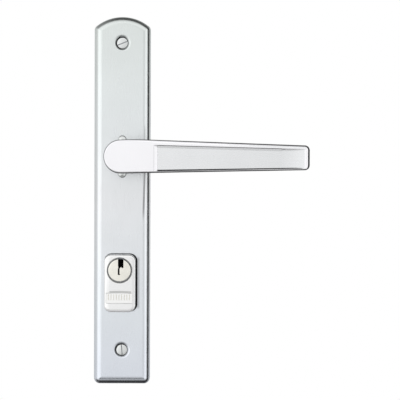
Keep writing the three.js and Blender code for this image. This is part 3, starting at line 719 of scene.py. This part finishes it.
def lever_outline():
    """The lever's outline from the front, clockwise from under the hub: a list of (x, z)."""
    end = LEVER_HIGH.x - END_CORNER
    points = arc(0, 0, HUB, 270, 90, 64)[:-1] + bezier(*CROWN, 12)
    points += arc(end, END_TOP - END_CORNER, END_CORNER, 88, 0, 16)
    points += arc(end, END_BOTTOM + END_CORNER, END_CORNER, 0, -89, 16)
    return resample(points[::-1], OUTLINE_POINTS)


def inward_normals(loop):
    turned_along = (loop[(i + 1) % len(loop)] - loop[i - 1] for i in range(len(loop)))
    return [Vector((-along.y, along.x)).normalized() for along in turned_along]


def lever_ring(loop, normals, depths, insets):
    """The outline pulled in by its own inset at each point, at its own depth."""
    return [(p.x + n.x * inset, depth, p.y + n.y * inset)
            for p, n, inset, depth in zip(loop, normals, insets, depths)]


def front_edge(point, normal):
    """Widths of the steep outer chamfer and of the gentle bevel inside it, at one point of the outline."""
    along = max(0.0, min(1.0, point.x / LEVER_HIGH.x))
    grip = max(0.0, min(1.0, (point.x - 6) / 16))
    top, bottom, end = max(0, -normal.y) ** 2, max(0, normal.y) ** 2, max(0, -normal.x) ** 2
    hub = max(0, normal.x) ** 2
    chamfer = top * (0.4 + 0.35 * along) + bottom * (0.6 - 0.05 * along) + end * 1.05 + hub * 0.45
    bevel = top * (0.5 + grip * (1.4 - 0.5 * along)) + bottom * (0.55 - 0.2 * along) + end * 0.8 + hub * 0.3
    return chamfer, bevel


def lever_rings(front):
    """The grip's sections, from its rounded back edge to its flat front."""
    loop = lever_outline()
    normals = inward_normals(loop)
    edges = [front_edge(p, n) for p, n in zip(loop, normals)]
    rings = []
    for i in range(9):
        angle = math.radians(90 * i / 8)
        depth, inset = GRIP_BACK - BACK_EDGE * (1 - math.cos(angle)), BACK_EDGE * (1 - math.sin(angle))
        rings.append(lever_ring(loop, normals, [depth] * len(loop), [inset] * len(loop)))
    height = BEVEL_TILTS[-1][1]
    for share, rise in CHAMFER_RISES:
        depths = [front + height * bevel + CHAMFER_TILT * chamfer * (1 - rise) for chamfer, bevel in edges]
        rings.append(lever_ring(loop, normals, depths, [chamfer * share for chamfer, _ in edges]))
    for share, rise in BEVEL_TILTS[1:]:
        depths = [front + (height - rise) * bevel for _, bevel in edges]
        rings.append(lever_ring(loop, normals, depths, [chamfer + bevel * share for chamfer, bevel in edges]))
    return rings


def make_lever():
    front = LEVER_LOW.y
    grip = loft("lever_body", lever_rings(front))
    join(grip, turned("neck", neck_profile(), steps=96))
    cut(grip, *lever_tools(front))
    place(grip, "lever", "lever", "lever", sharp=30)
    paint_panel(grip)


def paint_panel(grip):
    """Brushes the panel's floor and the sides; the panel's lower wall gets painted shade and the hub's
    chamfer a painted dark reflection.
    """
    front = LEVER_LOW.y
    floor, wall, hub_edge, side = range(1, 5)
    for material in ("panel", "painted_shade", "casting_and_shade", "lever_side"):
        grip.data.materials.append(MATERIALS[material])
    for face in grip.data.polygons:
        x, y, z = face.center * METRE
        if y > front + 1.3:
            if abs(face.normal.y) < 0.5 and y < GRIP_BACK:
                face.material_index = side
        elif in_panel(x, z) and y > front + 0.04 and face.normal.y < -0.9:
            face.material_index = floor
        # painted shade: the panel's lower wall is painted near-black
        elif PANEL["left"] < x < PANEL["right"] and z < -5 and face.normal.z > 0.4:
            face.material_index = wall
        # painted dark reflection: the hub's chamfer takes the dark casting colour
        elif x < 6 and -0.86 < face.normal.y < -0.55 and y > front + 0.1 and z > -9:
            face.material_index = hub_edge


def neck_profile():
    shoulder = PLATE_FRONT - 1.1
    root = GRIP_BACK - 3
    flare = bezier((NECK, -22), (NECK, -30), (7.6, -36), (9.0, GRIP_BACK - 0.6), 12)
    groove = [(NECK_END, -2.4), (GROOVE, -2.4), (GROOVE, -3.1), (NECK_END, -3.1)]
    return ([(0, -1.8), (NECK_END - 0.2, -1.8), (NECK_END, -2.0)] + groove
            + [(NECK_END, shoulder), (NECK - 0.3, shoulder), (NECK, shoulder - 0.3)]
            + flare + [(9.0, root), (0, root)])


def panel_ring(x, share, front):
    """The panel's section at x, its depth scaled by share."""
    along = (x - PANEL["left"]) / (PANEL["right"] - PANEL["left"])
    low = PANEL["left_low"] + (PANEL["right_low"] - PANEL["left_low"]) * along
    high = PANEL["left_high"] + (PANEL["right_high"] - PANEL["left_high"]) * along
    wall = min(1.0, 0.3 + share)
    lower_wall = PANEL_WALL_BOTTOM * wall * (1 - WALL_NARROWING * along)
    return [
        (x, front - PAST, low - 0.1),
        (x, front, low),
        (x, front + PANEL_DEPTH_BOTTOM * share, low + lower_wall),
        (x, front + PANEL_DEPTH_TOP * share, high - PANEL_FILLET * wall),
        (x, front + 0.6 * PANEL_DEPTH_TOP * share, high - PANEL_WALL_TOP * wall),
        (x, front, high),
        (x, front - PAST, high + 0.1),
    ]


def panel_tool(front):
    """The sunk panel: the hub's face rolls off into it at the left, and its floor rises at the right."""
    left, right = PANEL["left"], PANEL["right"]
    rings = [panel_ring(left + x, share, front) for x, share in SHOULDER_ROLL]
    for k in range(13):
        rings.append(panel_ring(right - RAMP * (1 - k / 12), 1.01 - (k / 12) ** 1.5, front))
    return loft("panel", rings)


def in_panel(x, z):
    return PANEL["left"] < x < PANEL["right"] and PANEL["left_low"] < z < PANEL["left_high"]


def lever_tools(front):
    socket = block("socket", (-SOCKET, GRIP_BACK + 0.5, -SOCKET), (SOCKET, PAST, SOCKET))
    grub = upright_rod("grub_hole", GRUB_HOLE, -12, 0.2 - SOCKET, 0, GRUB_Y)
    sides = ((NECK_FLAT, 10), (-10, -NECK_FLAT))
    flats = [block("flat", (low, -4.4, -9), (high, PAST, 9)) for low, high in sides]
    return [panel_tool(front), socket, grub] + flats


# ---- the cylinder guard ----

EURO_RADIUS, EURO_HALF, EURO_HEIGHT = 8.5, 5.0, 33.0
WINDOW, WINDOW_CONE = 8.0, 0.3
GUARD_WALL = 1.8
FLANGE_FRONT = -6.0
FOOT_SHADE = 1.2  # the height of the darker strip along the guard's lower edge
# how the guard's face falls away towards its left edge: (x from the edge, drop)
GUARD_FALL = [(-1.0, 0.24), (1.7, 0.055), (3.0, 0.0), (3.0, -PAST), (-1.0, -PAST)]
LABEL_WIDTH, LABEL_HEIGHT, LABEL_DROP, LABEL_DEPTH = 16.4, 7.8, 8.45, 0.26
LABEL_X, LABEL_Z = LOCK_X - 0.3, GUARD_MIDDLE.z - LABEL_DROP
LABEL_WALL, LABEL_WALL_TOP, LABEL_ARCH = 0.2, 1.5, 0.35
RIBS, RIBS_WIDTH = 9, LABEL_WIDTH - 3.4
RIB_ENDS = (-1.9, 1.7)
RIB_SECTION = [(-0.28, 0.05), (-0.14, -0.16), (0.14, -0.16), (0.28, 0.05)]  # (x, depth from the floor)


def profile_outline(grow):
    """The euro profile, grown all round: a round top over a narrower foot."""
    radius, half = EURO_RADIUS + grow, EURO_HALF + grow
    shoulder = math.degrees(math.acos(half / radius))
    toe = LOCK_Z + EURO_RADIUS - EURO_HEIGHT + EURO_HALF
    return arc(LOCK_X, LOCK_Z, radius, -shoulder, 180 + shoulder, 90) + arc(LOCK_X, toe, half, 180, 360, 36)


def label_outline(inset):
    """A rectangle whose upper side is slightly arched. The upper wall slopes more than the others."""
    half = LABEL_WIDTH / 2 - LABEL_WALL * inset
    low = LABEL_Z - LABEL_HEIGHT / 2 + LABEL_WALL * inset
    high = LABEL_Z + LABEL_HEIGHT / 2 - LABEL_WALL_TOP * inset
    shares = [1 - i / 10 for i in range(21)]
    arch = [(LABEL_X + half * share, high - LABEL_ARCH * share**2) for share in shares]
    return arch + [(LABEL_X - half, low), (LABEL_X + half, low)]


def fall_tool():
    """Cuts the guard's face where it falls away towards its left edge."""
    left = GUARD_MIDDLE.x - BOSS_WIDTH / 2
    ends = (GUARD_HIGH.z, GUARD_LOW.z)
    return loft("fall", [[(left + x, GUARD_FRONT + drop, z) for x, drop in GUARD_FALL] for z in ends])


def guard_body():
    """The boss with its rounded front edge, and the flange behind the plate."""
    boss_at = rounded_rectangle(GUARD_MIDDLE.x, GUARD_MIDDLE.z, BOSS_WIDTH, BOSS_HEIGHT, BOSS_CORNER)
    rounding = bezier((0, 1.0), (0, 0.35), (0.6, 0), (2.2, 0), 10)
    edge = [(GUARD_FRONT + depth, inset) for inset, depth in rounding]
    boss = from_outline("guard", boss_at, [(GUARD_HIGH.y, 0), (PLATE_FRONT + 0.1, 0)] + edge)
    width, height = GUARD_HIGH.x - GUARD_LOW.x, GUARD_HIGH.z - GUARD_LOW.z
    flange_at = rounded_rectangle(GUARD_MIDDLE.x, GUARD_MIDDLE.z, width, height, BOSS_CORNER)
    levels = [(GUARD_HIGH.y, 0.2), (GUARD_HIGH.y - 0.2, 0), (FLANGE_FRONT + 0.2, 0), (FLANGE_FRONT, 0.2)]
    return join(boss, from_outline("flange", flange_at, levels))


def on_guard_side(x, y, z):
    """The lower edge, and the sides."""
    foot = z < GUARD_MIDDLE.z - BOSS_HEIGHT / 2 + FOOT_SHADE
    side = y > GUARD_FRONT + 1.0 and math.hypot(x - LOCK_X, z - LOCK_Z) > WINDOW + 0.2
    return y < PLATE_FRONT + 0.1 and (foot or side)


def on_label(x, y, z):
    inside = abs(z - LABEL_Z) < LABEL_HEIGHT / 2 and abs(x - LOCK_X) < LABEL_WIDTH / 2
    return inside and GUARD_FRONT + 0.1 < y < GUARD_FRONT + 0.4


def make_guard():
    boss = guard_body()
    front, back, cone = GUARD_FRONT - PAST, GUARD_FRONT + 3, WINDOW - WINDOW_CONE
    window = [(0, back), (cone, back), (cone, GUARD_FRONT + WINDOW_CONE), (WINDOW, GUARD_FRONT),
              (WINDOW, front), (0, front)]
    label_levels = [(GUARD_FRONT + LABEL_DEPTH, 1), (GUARD_FRONT, 0), (front, 0)]
    cut(
        boss,
        fall_tool(),
        from_outline("pocket", profile_outline, [(PAST, 0.2), (GUARD_FRONT + GUARD_WALL, 0.2)]),
        turned("window", window, LOCK_X, LOCK_Z, 96),
        from_outline("label", label_outline, label_levels),
    )
    place(boss, "backplate", "guard", "cylinder_guard")
    # painted shade: what stands behind the plate's face, seen through the gap round the boss, is painted
    # near-black
    repaint(boss, "painted_shade", lambda x, y, z: y > PLATE_FRONT + 0.1)
    repaint(boss, "guard_side", on_guard_side)
    repaint(boss, "label", on_label)
    make_label_ribs()


def make_label_ribs():
    """Fine upright ribs on the label's floor, standing just below the guard's face."""
    floor = GUARD_FRONT + LABEL_DEPTH
    points, faces = [], []
    for i in range(RIBS):
        x = LABEL_X - RIBS_WIDTH / 2 + RIBS_WIDTH / (RIBS - 1) * i
        a, b, c, d, e, f, g, h = range(len(points), len(points) + 8)
        for end in RIB_ENDS:
            points += [(x + across, floor + depth, LABEL_Z + end) for across, depth in RIB_SECTION]
        faces += [(a, b, f, e), (b, c, g, f), (c, d, h, g), (d, a, e, h), (a, b, c, d), (h, g, f, e)]
    ribs = mesh_object("label_ribs", points, faces)
    # the ribs take the darker nickel brass, a painted shade that lets them show against the brighter label
    ribs.data.materials.append(MATERIALS["body"])
    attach(ribs, "backplate")


# ---- the cylinder ----

SLOT_FRONT = BODY_LOW.y + 30
SLOT_BACK = SLOT_FRONT + 10
WEB_TOP = LOCK_Z - 15.8  # the web joins the body's halves below the cam's slot
PLUG_BORE, PLUG_SEAT, CLIP_BORE, STUB_BORE = 6.7, 7.0, 7.0, 4.9
PIN_BORE, FIXING_BORE = 1.7, 2.1


def make_cylinder_body():
    low, high = BODY_LOW.y, BODY_HIGH.y
    x, z = LOCK_X, LOCK_Z
    body = from_outline("body", profile_outline, [(high, -0.3), (high - 0.3, 0), (low + 0.3, 0), (low, -0.3)])
    bore = [(0, low - PAST), (PLUG_SEAT, low - PAST), (PLUG_SEAT, low), (PLUG_BORE, low + 0.3),
            (PLUG_BORE, SLOT_FRONT + PAST), (0, SLOT_FRONT + PAST)]
    clip_pocket = [(0, high - 1.6), (CLIP_BORE, high - 1.6), (CLIP_BORE, high - 0.2), (CLIP_BORE + 0.2, high),
                   (CLIP_BORE + 0.2, high + PAST), (0, high + PAST)]
    fixing = rod("fixing", FIXING_BORE, -12, 12, steps=48)
    fixing.data.transform(axis_swap(x, (SLOT_FRONT + SLOT_BACK) / 2, (WEB_TOP + BODY_LOW.z) / 2))
    tools = [
        turned("bore", bore, x, z, 96),
        rod("stub_bore", STUB_BORE, SLOT_BACK - PAST, high + PAST, x, z),
        turned("clip_pocket", clip_pocket, x, z),
        block("cam_slot", (x - 10, SLOT_FRONT, WEB_TOP), (x + 10, SLOT_BACK, z + 10)),
    ]
    for i in PINS:
        y = extent(f"driver_pin_{i}")[2].y
        tools.append(upright_rod("chamber", PIN_BORE, BODY_LOW.z - PAST, z - 4, x, y))
    cut(body, *tools, fixing)
    place(body, "backplate", "body", "cylinder_body")
    # painted shade: the body's front face, seen as a ring round the plug, takes the dark casting colour
    repaint(body, "casting_and_shade", lambda x, y, z: y < BODY_LOW.y + 0.5)


def axis_swap(x, y, z):
    """Turns a piece made along Y so that it lies along X, and moves its middle to a point."""
    return Matrix.Translation(Vector((x, y, z)) / METRE) @ Matrix.Rotation(math.radians(90), 4, "Z")


KEYWAY = [(-0.9, 8.0), (2.5, 8.0), (2.45, 1.7), (1.7, 1.3), (0.9, 2.2), (0.5, 1.6), (0.05, 1.0), (0.05, -2.2),
          (0.45, -2.4), (0.45, -2.8), (-1.0, -2.8), (-1.0, 0.9), (-0.7, 1.6), (-0.9, 2.6)]


def make_plug():
    front, back = PLUG_LOW.y, PLUG_HIGH.y
    face = BODY_LOW.y - 0.3
    profile = [(0, front), (6.4, front), (6.65, front + 0.03), (6.84, front + 0.14), (6.9, front + 0.35),
               (6.9, face), (6.4, face), (6.4, SLOT_FRONT - 0.7), (6.1, SLOT_FRONT - 0.4),
               (4.6, SLOT_FRONT - 0.4), (4.6, back - 1.3), (4.2, back - 1.3), (4.2, back - 0.4),
               (4.6, back - 0.4), (4.4, back), (0, back)]
    plug = turned("plug", profile, LOCK_X, LOCK_Z, 128)
    ends = (front - PAST, SLOT_FRONT - 3)
    keyway = loft("keyway", [[(LOCK_X + x, y, LOCK_Z + z) for x, z in KEYWAY] for y in ends])
    drive_front, drive_back = SLOT_FRONT - 0.4, back + PAST
    drive = block("drive", (LOCK_X - 1.2, drive_front, LOCK_Z + 3), (LOCK_X + 1.2, drive_back, LOCK_Z + 7))
    tools = [keyway, drive]
    for i in PINS:
        y = extent(f"key_pin_{i}")[2].y
        tools.append(upright_rod("chamber", PIN_BORE, LOCK_Z - 7, LOCK_Z + 0.6, LOCK_X, y))
    cut(plug, *tools)
    place(plug, "plug", "plug", "cylinder_plug")

    def in_keyway(x, y, z):
        return y > front + 0.6 and math.hypot(x - LOCK_X, z - LOCK_Z) < 6.8

    # painted shade: the keyway's inside is painted near-black
    repaint(plug, "painted_shade", in_keyway)


def make_cam():
    low, high, _ = extent("cylinder_cam")
    radius, half = 8.3, 4.2
    profile = [(0, low.y), (radius - 0.3, low.y), (radius, low.y + 0.3), (radius, high.y - 0.3),
               (radius - 0.3, high.y), (0, high.y)]
    ring = turned("cam", profile, LOCK_X, LOCK_Z, 96)

    def lobe(inset):
        width = half - inset
        top = [(LOCK_X + width, LOCK_Z), (LOCK_X - width, LOCK_Z)]
        return top + arc(LOCK_X, low.z + half, width, 180, 360, 28)

    join(ring, from_outline("lobe", lobe, [(high.y, 0.3), (high.y - 0.3, 0), (low.y + 0.3, 0), (low.y, 0.3)]))
    cut(ring, rod("cam_bore", STUB_BORE, low.y - PAST, high.y + PAST, LOCK_X, LOCK_Z))
    tooth_low = (LOCK_X - 0.9, low.y + 0.1, LOCK_Z + 3.3)
    tooth_high = (LOCK_X + 0.9, high.y - 0.1, LOCK_Z + 7)
    join(ring, block("tooth", tooth_low, tooth_high))
    place(ring, "plug", "sinter", "cylinder_cam")


def make_pins():
    for i in PINS:
        for node, body, material in ((f"key_pin_{i}", f"key_pin_{i}", "brass"),
                                     (f"driver_pin_{i}", f"driver_pin_{i}", "pin_steel"),
                                     (f"chamber_cap_{i}", "backplate", "brass")):
            low, high, middle = extent(node)
            radius = (high.x - low.x) / 2
            nose = 0.9 if node.startswith("key") else 0.15
            profile = [(0, low.z), (radius - 0.15, low.z), (radius, low.z + 0.15), (radius, high.z - nose),
                       (radius - nose, high.z), (0, high.z)]
            pin = upright(node + "_turned", profile, middle.x, middle.y)
            place(pin, body, material, node)


# ---- springs, screws and small parts ----

NECK_CLEARANCE, SHANK_CLEARANCE = 6.2, 2.4  # the radii of the base plate's holes


def swept(name, path, radius, sides=12):
    """A round wire along a list of points in millimetres."""
    curve = bpy.data.curves.new(name, "CURVE")
    curve.dimensions = "3D"
    curve.bevel_depth = radius / METRE
    curve.bevel_resolution = sides // 4
    curve.use_fill_caps = True
    spline = curve.splines.new("POLY")
    spline.points.add(len(path) - 1)
    for point, place_at in zip(spline.points, path):
        point.co = (*(Vector(place_at) / METRE), 1)
    source = add_object(name + "_curve", curve)
    mesh = evaluated_mesh(source)
    bpy.data.objects.remove(source)
    return add_object(name, mesh)


def make_return_spring():
    low, high, _ = extent("return_spring")
    wire, leg_angle, turns, reach = 0.4, 9.0, 2, 11.4
    front, back = low.y + wire, high.y - wire
    coil = arc(0, 0, 7.3, leg_angle, 360 * turns - leg_angle, 96 * turns)
    path = [(x, front + (back - front) * i / (len(coil) - 1), z) for i, (x, z) in enumerate(coil)]
    rise = reach * math.tan(math.radians(leg_angle))
    path = [(reach, front, rise)] + path + [(reach, back, -rise)]
    spring = swept("return_spring_wire", path, wire, 16)
    place(spring, "backplate", "spring", "return_spring", sharp=50)


def make_pin_springs():
    for i in PINS:
        low, high, middle = extent(f"pin_spring_{i}")
        wire, turns, steps = 0.2, 7, 20
        radius = (high.x - low.x) / 2 - wire
        path = []
        for k in range(turns * steps + 1):
            share = k / (turns * steps)
            angle = math.tau * turns * share
            z = low.z + wire + (high.z - low.z - 2 * wire) * share
            path.append((middle.x + radius * math.cos(angle), middle.y + radius * math.sin(angle), z))
        spring = swept(f"pin_spring_wire_{i}", path, wire, 8)
        place(spring, "backplate", "spring", f"pin_spring_{i}", sharp=50)
        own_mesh(spring)


def screw_thread(name, x, z, start, end, radius, pitch, depth):
    """A raised helical ridge round a shank along Y, fading out at both ends."""
    turns = (end - start) / pitch
    steps = int(turns * 24)
    rings = []
    for k in range(steps + 1):
        share = k / steps
        angle, y = math.tau * turns * share, start + (end - start) * share
        height = depth * min(1, 12 * share, 12 * (1 - share))
        ring = []
        for out, along in ((-0.15, -0.34), (height, -0.05), (height, 0.05), (-0.15, 0.34)):
            r = radius + out
            ring.append((x + r * math.cos(angle), y + along * pitch, z + r * math.sin(angle)))
        rings.append(ring)
    return loft(name, rings)


def make_door_screw(node, slot_angle):
    low, high, middle = extent(node)
    radius = (high.x - low.x) / 2
    crown, seat = low.y, low.y + 2.2
    dome = [(0, crown), (radius * 0.5, crown + 0.03), (radius * 0.8, crown + 0.1),
            (radius - 0.25, crown + 0.17), (radius - 0.08, crown + 0.25), (radius, crown + 0.45)]
    profile = dome + [(radius, crown + 1.3), (radius, seat), (1.55, seat), (1.55, high.y - 6),
                      (1.2, high.y - 3.6), (0.15, high.y)]
    screw = turned(node + "_body", profile, middle.x, middle.z, 64)
    slot = block("slot", (-radius - 1, crown - 1, -0.32), (radius + 1, crown + 0.7, 0.32))
    slot.data.transform(rotation_about_y(slot_angle, middle))
    cut(screw, slot)
    thread = screw_thread("thread", middle.x, middle.z, seat + 5, high.y - 4.5, 1.5, 1.8, 0.5)
    join(screw, thread)
    place(screw, "backplate", "screw", node, sharp=32)

    def in_slot(x, y, z):
        return crown + 0.3 < y < crown + 0.71 and math.hypot(x - middle.x, z - middle.z) < radius - 0.15

    # painted shade: the slot's floor and walls take the dark casting colour
    repaint(screw, "casting_and_shade", in_slot)


def rotation_about_y(angle, middle):
    turn = Matrix.Rotation(math.radians(-angle), 4, "Y")
    return Matrix.Translation(Vector((middle.x, 0, middle.z)) / METRE) @ turn


def make_housing_screws():
    for node in HOUSING_SCREWS:
        low, high, middle = extent(node)
        radius, seat = (high.x - low.x) / 2, low.y + 1.5
        angles = [math.radians(7.5 * k) for k in range(13)]
        dome = [(radius * math.sin(angle), low.y + 1.4 * (1 - math.cos(angle))) for angle in angles]
        profile = dome + [(radius, seat), (1.25, seat), (1.25, high.y - 0.2), (1.05, high.y), (0, high.y)]
        screw = turned(node + "_body", profile, middle.x, middle.z, 48)
        place(screw, "backplate", "screw", node)


def make_spindle():
    low, high, _ = extent("spindle")
    section = rounded_rectangle(0, 0, high.x - low.x, high.z - low.z, 0.6, 5)
    levels = [(high.y, 0.6), (high.y - 0.6, 0.12), (high.y - 1.0, 0), (low.y + 0.3, 0), (low.y, 0.3)]
    bar = from_outline("bar", section, levels)
    place(bar, "lever", "zinc", "spindle")


def make_base_plate():
    low, high, _ = extent("base_plate")
    inset = PLATE_HIGH.x - high.x
    levels = [(high.y, inset + 0.15), (high.y - 0.15, inset), (low.y + 0.15, inset), (low.y, inset + 0.15)]
    sheet = from_outline("sheet", plate_outline, levels)
    tools = [rod("hole", NECK_CLEARANCE, -3, 1, steps=72)]
    for node in DOOR_SCREWS:
        middle = extent(node)[2]
        tools.append(rod("hole", SHANK_CLEARANCE, -3, 1, middle.x, middle.z, 48))
    tools.append(from_outline("profile", profile_outline, [(1, 0.4), (-3, 0.4)]))
    cut(sheet, *tools)
    place(sheet, "backplate", "zinc", "base_plate")


def make_bush():
    low, high, _ = extent("lever_bush")
    flange_front = high.y - 0.8
    profile = [(6.3, low.y + 0.2), (6.5, low.y), (6.75, low.y), (6.95, low.y + 0.2), (6.95, flange_front),
               (8.0, flange_front), (8.1, flange_front + 0.1), (8.1, high.y), (6.3, high.y)]
    place(turned("bush", profile, steps=96, closed=True), "backplate", "nylon", "lever_bush")


KEPT_NODES = {
    "spring_housing": "casting_and_shade",
    "spring_driver": "zinc",
    "lever_circlip": "spring",
    "lever_grub_screw": "oxide",
    "plug_circlip": "spring",
}


def dress_kept_nodes():
    for node, material in KEPT_NODES.items():
        obj = frame["nodes"][node]
        obj.data.materials.clear()
        obj.data.materials.append(MATERIALS[material])


# ---- put it together ----

make_camera()
make_world()
make_floor()
soft_light("softbox", (-0.7, -1.1, 1.0), 1.2, 12)
make_cover_plate()
make_base_plate()
make_lever()
make_spindle()
make_bush()
make_guard()
make_cylinder_body()
make_plug()
make_cam()
make_pins()
make_return_spring()
make_pin_springs()
make_door_screw("door_screw_top", 22)
make_door_screw("door_screw_bottom", 95)
make_housing_screws()
dress_kept_nodes()
